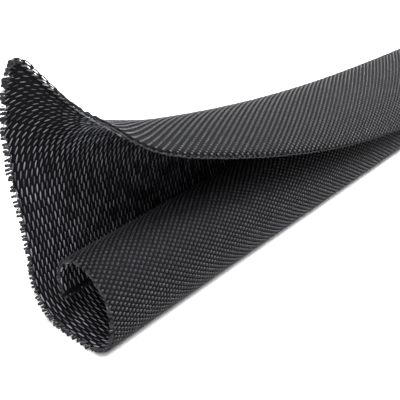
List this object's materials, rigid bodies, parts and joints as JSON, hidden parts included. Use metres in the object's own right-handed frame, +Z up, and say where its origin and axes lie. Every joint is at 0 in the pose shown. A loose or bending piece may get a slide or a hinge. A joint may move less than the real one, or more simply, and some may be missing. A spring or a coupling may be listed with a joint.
{
  "type": "woven wrap-around cable sleeve",
  "caption": "Short cut length of split woven cable sleeve: a springy fabric tape rolled over itself, its cut end lifted open into a flap above a frayed mouth",
  "frame": {"origin": "centre of the bounding box in plan, on the surface that the sleeve lies on", "axes": "+X along the sleeve from the opened cut end to the closed end, +Y from the slit side to the back, +Z up"},
  "size_m": [0.1514, 0.0296, 0.0514],
  "materials": {
    "weave": "black polyester weave, dull, with a faint sheen on the floats"
  },
  "bodies": {
    "root": {"woven_wrap_sleeve": "weave"}
  },
  "joints": []
}
